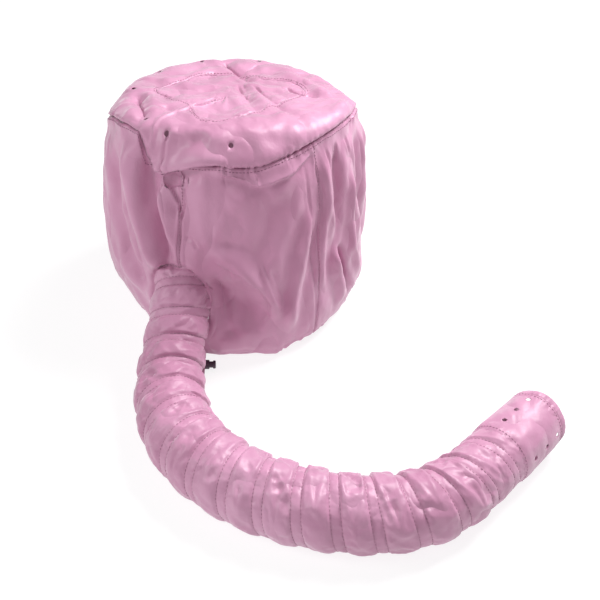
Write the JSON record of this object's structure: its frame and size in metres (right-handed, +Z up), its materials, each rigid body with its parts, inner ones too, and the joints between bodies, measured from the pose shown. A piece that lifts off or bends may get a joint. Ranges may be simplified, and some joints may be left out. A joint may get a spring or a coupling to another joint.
{
  "type": "soft bonnet hair dryer hood",
  "caption": "Soft fabric hair-drying bonnet with a drawstring hem, vented crown and a coiled-wire air hose that ends in a vented nozzle cuff.",
  "frame": {"origin": "centre of the bonnet's footprint, on the surface that its hem and hose lie on", "axes": "+Z up through the crown, -Y towards the bonnet's front where the hose leaves, +X to the right seen from the front"},
  "size_m": [0.4785, 0.5631, 0.2674],
  "materials": {
    "taffeta": "satin woven nylon taffeta",
    "binding_tape": "matt woven tape",
    "thread": "twisted polyester thread",
    "elastic_cord": "braided elastic cord",
    "lock_plastic": "moulded matt plastic",
    "spring_steel": "drawn wire"
  },
  "bodies": {
    "bonnet": {"crown_border_panel": "taffeta", "crown_centre_panel": "taffeta", "crown_ring_stitching": "thread", "crown_seam_stitching": "thread", "cuff_elastic": "elastic_cord", "cuff_hem": "taffeta", "cuff_seam_stitching": "thread", "drawstring": "elastic_cord", "drawstring_knot": "elastic_cord", "drawstring_tail_left": "elastic_cord", "drawstring_tail_right": "elastic_cord", "hem_casing": "taffeta", "hem_stitching": "thread", "hose_seam_binding": "binding_tape", "hose_seam_stitching": "thread", "hose_sleeve": "taffeta", "hose_wire": "spring_steel", "hose_wire_channel": "binding_tape", "inlet_cuff": "taffeta", "wall_front_panel": "taffeta", "wall_left_seam_stitching": "thread", "wall_main_panel": "taffeta", "wall_right_seam_stitching": "thread"},
    "cord_lock": {"cord_lock_barrel": "lock_plastic", "cord_lock_spring": "spring_steel"},
    "lock_plunger": {"cord_lock_plunger": "lock_plastic"}
  },
  "joints": [
    {"name": "cord_lock_slide", "type": "slide", "parent": "bonnet", "child": "cord_lock", "axis": [0, -1, 0], "range_m": [0, 0.01]},
    {"name": "plunger_press", "type": "slide", "parent": "cord_lock", "child": "lock_plunger", "axis": [-1, 0, 0], "range_m": [0, 0.0035], "stiffness_N_per_m": 300, "springref_m": -0.001, "deforming": ["cord_lock_spring"]}
  ]
}
